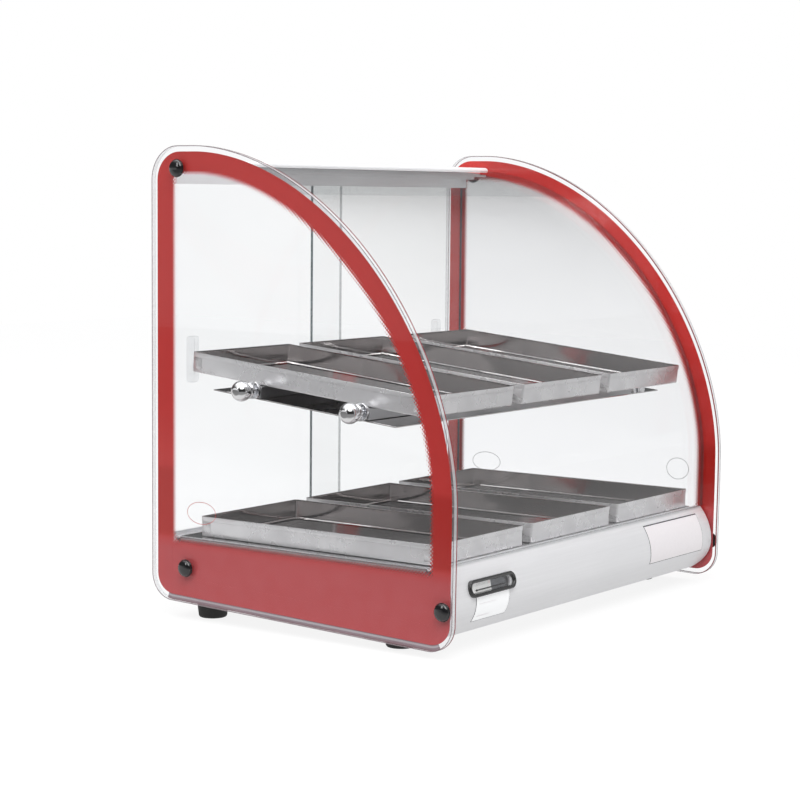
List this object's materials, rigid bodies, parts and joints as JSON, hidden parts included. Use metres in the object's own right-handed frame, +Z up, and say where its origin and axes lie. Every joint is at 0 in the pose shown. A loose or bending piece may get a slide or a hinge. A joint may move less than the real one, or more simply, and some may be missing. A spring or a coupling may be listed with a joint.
{
  "type": "hot food display case",
  "caption": "Countertop warming case with curved front glass, printed glass sides, tilted upper shelf, lift-out food pans and sliding rear doors.",
  "frame": {"origin": "on the counter, under the centre of the overall box; the side panels' footprint is centred on it", "axes": "+X to the customer's right, +Y towards the server's side with the sliding doors, +Z up; the curved front glass faces -Y"},
  "size_m": [0.5996, 0.392, 0.503],
  "materials": {
    "clear_glass": "toughened, clear, polished edges; printed band in red on the side panels",
    "door_glass": "float glass with a faint green-blue edge",
    "clear_acrylic": "clear moulded acrylic",
    "mirror_steel": "mirror-polished stainless sheet",
    "polished_steel": "polished stainless sheet",
    "brushed_steel": "brushed stainless sheet",
    "satin_aluminium": "satin anodised extrusion",
    "chrome": "polished chrome plating",
    "black_plastic": "glossy moulded black",
    "cord_rubber": "matt black cord sheath",
    "foot_rubber": "matt black rubber",
    "dial_white": "white scale card",
    "ceramic": "glazed off-white ceramic",
    "amber_lens": "translucent amber lens",
    "insulation": "mineral wool felt"
  },
  "bodies": {
    "case": {"base_tub": "brushed_steel", "deck_plate": "polished_steel", "fascia": "satin_aluminium", "front_glass": "clear_glass", "side_glass_left": "clear_glass", "side_glass_right": "clear_glass", "top_rail": "satin_aluminium", "lower_track": "satin_aluminium", "shelf_bar_rear": "brushed_steel", "shelf_bar_front": "brushed_steel", "shelf_plate": "mirror_steel", "shelf_stud_rear_left": "chrome", "shelf_stud_rear_right": "chrome", "shelf_stud_front_left": "chrome", "shelf_stud_front_right": "chrome", "shelf_spacer_rear_left": "chrome", "shelf_spacer_rear_right": "chrome", "shelf_spacer_front_left": "chrome", "shelf_spacer_front_right": "chrome", "cap_screw_top_left": "black_plastic", "cap_screw_top_right": "black_plastic", "cap_screw_rear_left": "black_plastic", "cap_screw_rear_right": "black_plastic", "cap_screw_front_left": "black_plastic", "cap_screw_front_right": "black_plastic", "foot_rear_left": "foot_rubber", "foot_rear_right": "foot_rubber", "foot_front_left": "foot_rubber", "foot_front_right": "foot_rubber", "meter_bezel": "black_plastic", "meter_dial": "dial_white", "meter_lens": "clear_acrylic", "meter_column": "black_plastic", "switch_housing": "black_plastic", "pilot_lamp": "amber_lens", "thermostat_body": "brushed_steel", "heating_element": "brushed_steel", "element_bracket_left": "brushed_steel", "element_bracket_right": "brushed_steel", "insulation_pad": "insulation", "terminal_block": "ceramic", "cord_grip": "black_plastic", "power_cord": "cord_rubber", "power_plug": "cord_rubber"},
    "left_door": {"door_left": "door_glass", "door_pull_left": "clear_acrylic"},
    "right_door": {"door_right": "door_glass", "door_pull_right": "clear_acrylic"},
    "upper_pan_left": {"upper_pan_left": "mirror_steel"},
    "upper_pan_middle": {"upper_pan_middle": "mirror_steel"},
    "upper_pan_right": {"upper_pan_right": "mirror_steel"},
    "lower_pan_left": {"lower_pan_left": "mirror_steel"},
    "lower_pan_middle": {"lower_pan_middle": "mirror_steel"},
    "lower_pan_right": {"lower_pan_right": "mirror_steel"},
    "control_knob": {"thermostat_knob": "black_plastic", "thermostat_spindle": "brushed_steel"},
    "rocker": {"switch_rocker": "black_plastic"}
  },
  "joints": [
    {"name": "left_door_slide", "type": "slide", "parent": "case", "child": "left_door", "axis": [1, 0, 0], "range_m": [0, 0.237]},
    {"name": "right_door_slide", "type": "slide", "parent": "case", "child": "right_door", "axis": [-1, 0, 0], "range_m": [0, 0.237]},
    {"name": "upper_pan_left_lift", "type": "slide", "parent": "case", "child": "upper_pan_left", "axis": [0, 0.4067, 0.9135], "range_m": [0, 0.03]},
    {"name": "upper_pan_middle_lift", "type": "slide", "parent": "case", "child": "upper_pan_middle", "axis": [0, 0.4067, 0.9135], "range_m": [0, 0.03]},
    {"name": "upper_pan_right_lift", "type": "slide", "parent": "case", "child": "upper_pan_right", "axis": [0, 0.4067, 0.9135], "range_m": [0, 0.03]},
    {"name": "lower_pan_left_lift", "type": "slide", "parent": "case", "child": "lower_pan_left", "axis": [0, 0, 1], "range_m": [0, 0.06]},
    {"name": "lower_pan_middle_lift", "type": "slide", "parent": "case", "child": "lower_pan_middle", "axis": [0, 0, 1], "range_m": [0, 0.06]},
    {"name": "lower_pan_right_lift", "type": "slide", "parent": "case", "child": "lower_pan_right", "axis": [0, 0, 1], "range_m": [0, 0.06]},
    {"name": "control_knob_turn", "type": "hinge", "parent": "case", "child": "control_knob", "pos_m": [0.15, 0.184, 0.0585], "axis": [0, 1, 0], "range_deg": [0, 270]},
    {"name": "rocker_tip", "type": "hinge", "parent": "case", "child": "rocker", "pos_m": [0.095, 0.18, 0.0585], "axis": [1, 0, 0], "range_deg": [0, 16]}
  ]
}
